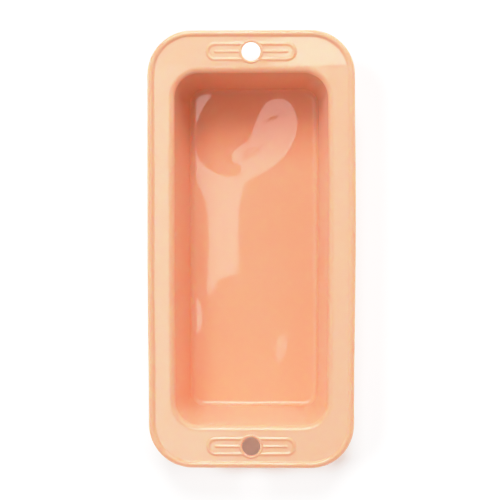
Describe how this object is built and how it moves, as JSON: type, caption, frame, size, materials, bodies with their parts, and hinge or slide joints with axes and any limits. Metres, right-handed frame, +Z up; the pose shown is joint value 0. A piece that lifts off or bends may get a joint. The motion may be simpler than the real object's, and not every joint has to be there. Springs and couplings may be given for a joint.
{
  "type": "soap loaf mould",
  "caption": "Seamless silicone loaf mould with a drafted rectangular tub, a flat flange with a round rim bead, and a ribbed hanging hole in each end flange.",
  "frame": {"origin": "centre of the base, on the surface that the mould rests on", "axes": "+Z up out of the cavity's mouth, +Y along the long side, +X along the short side"},
  "size_m": [0.136, 0.285, 0.0683],
  "materials": {
    "silicone": "glossy, slightly translucent peach silicone",
    "rim_steel": "bright drawn steel wire"
  },
  "bodies": {
    "root": {"silicone_moulding": "silicone", "rim_wire": "rim_steel"}
  },
  "joints": []
}
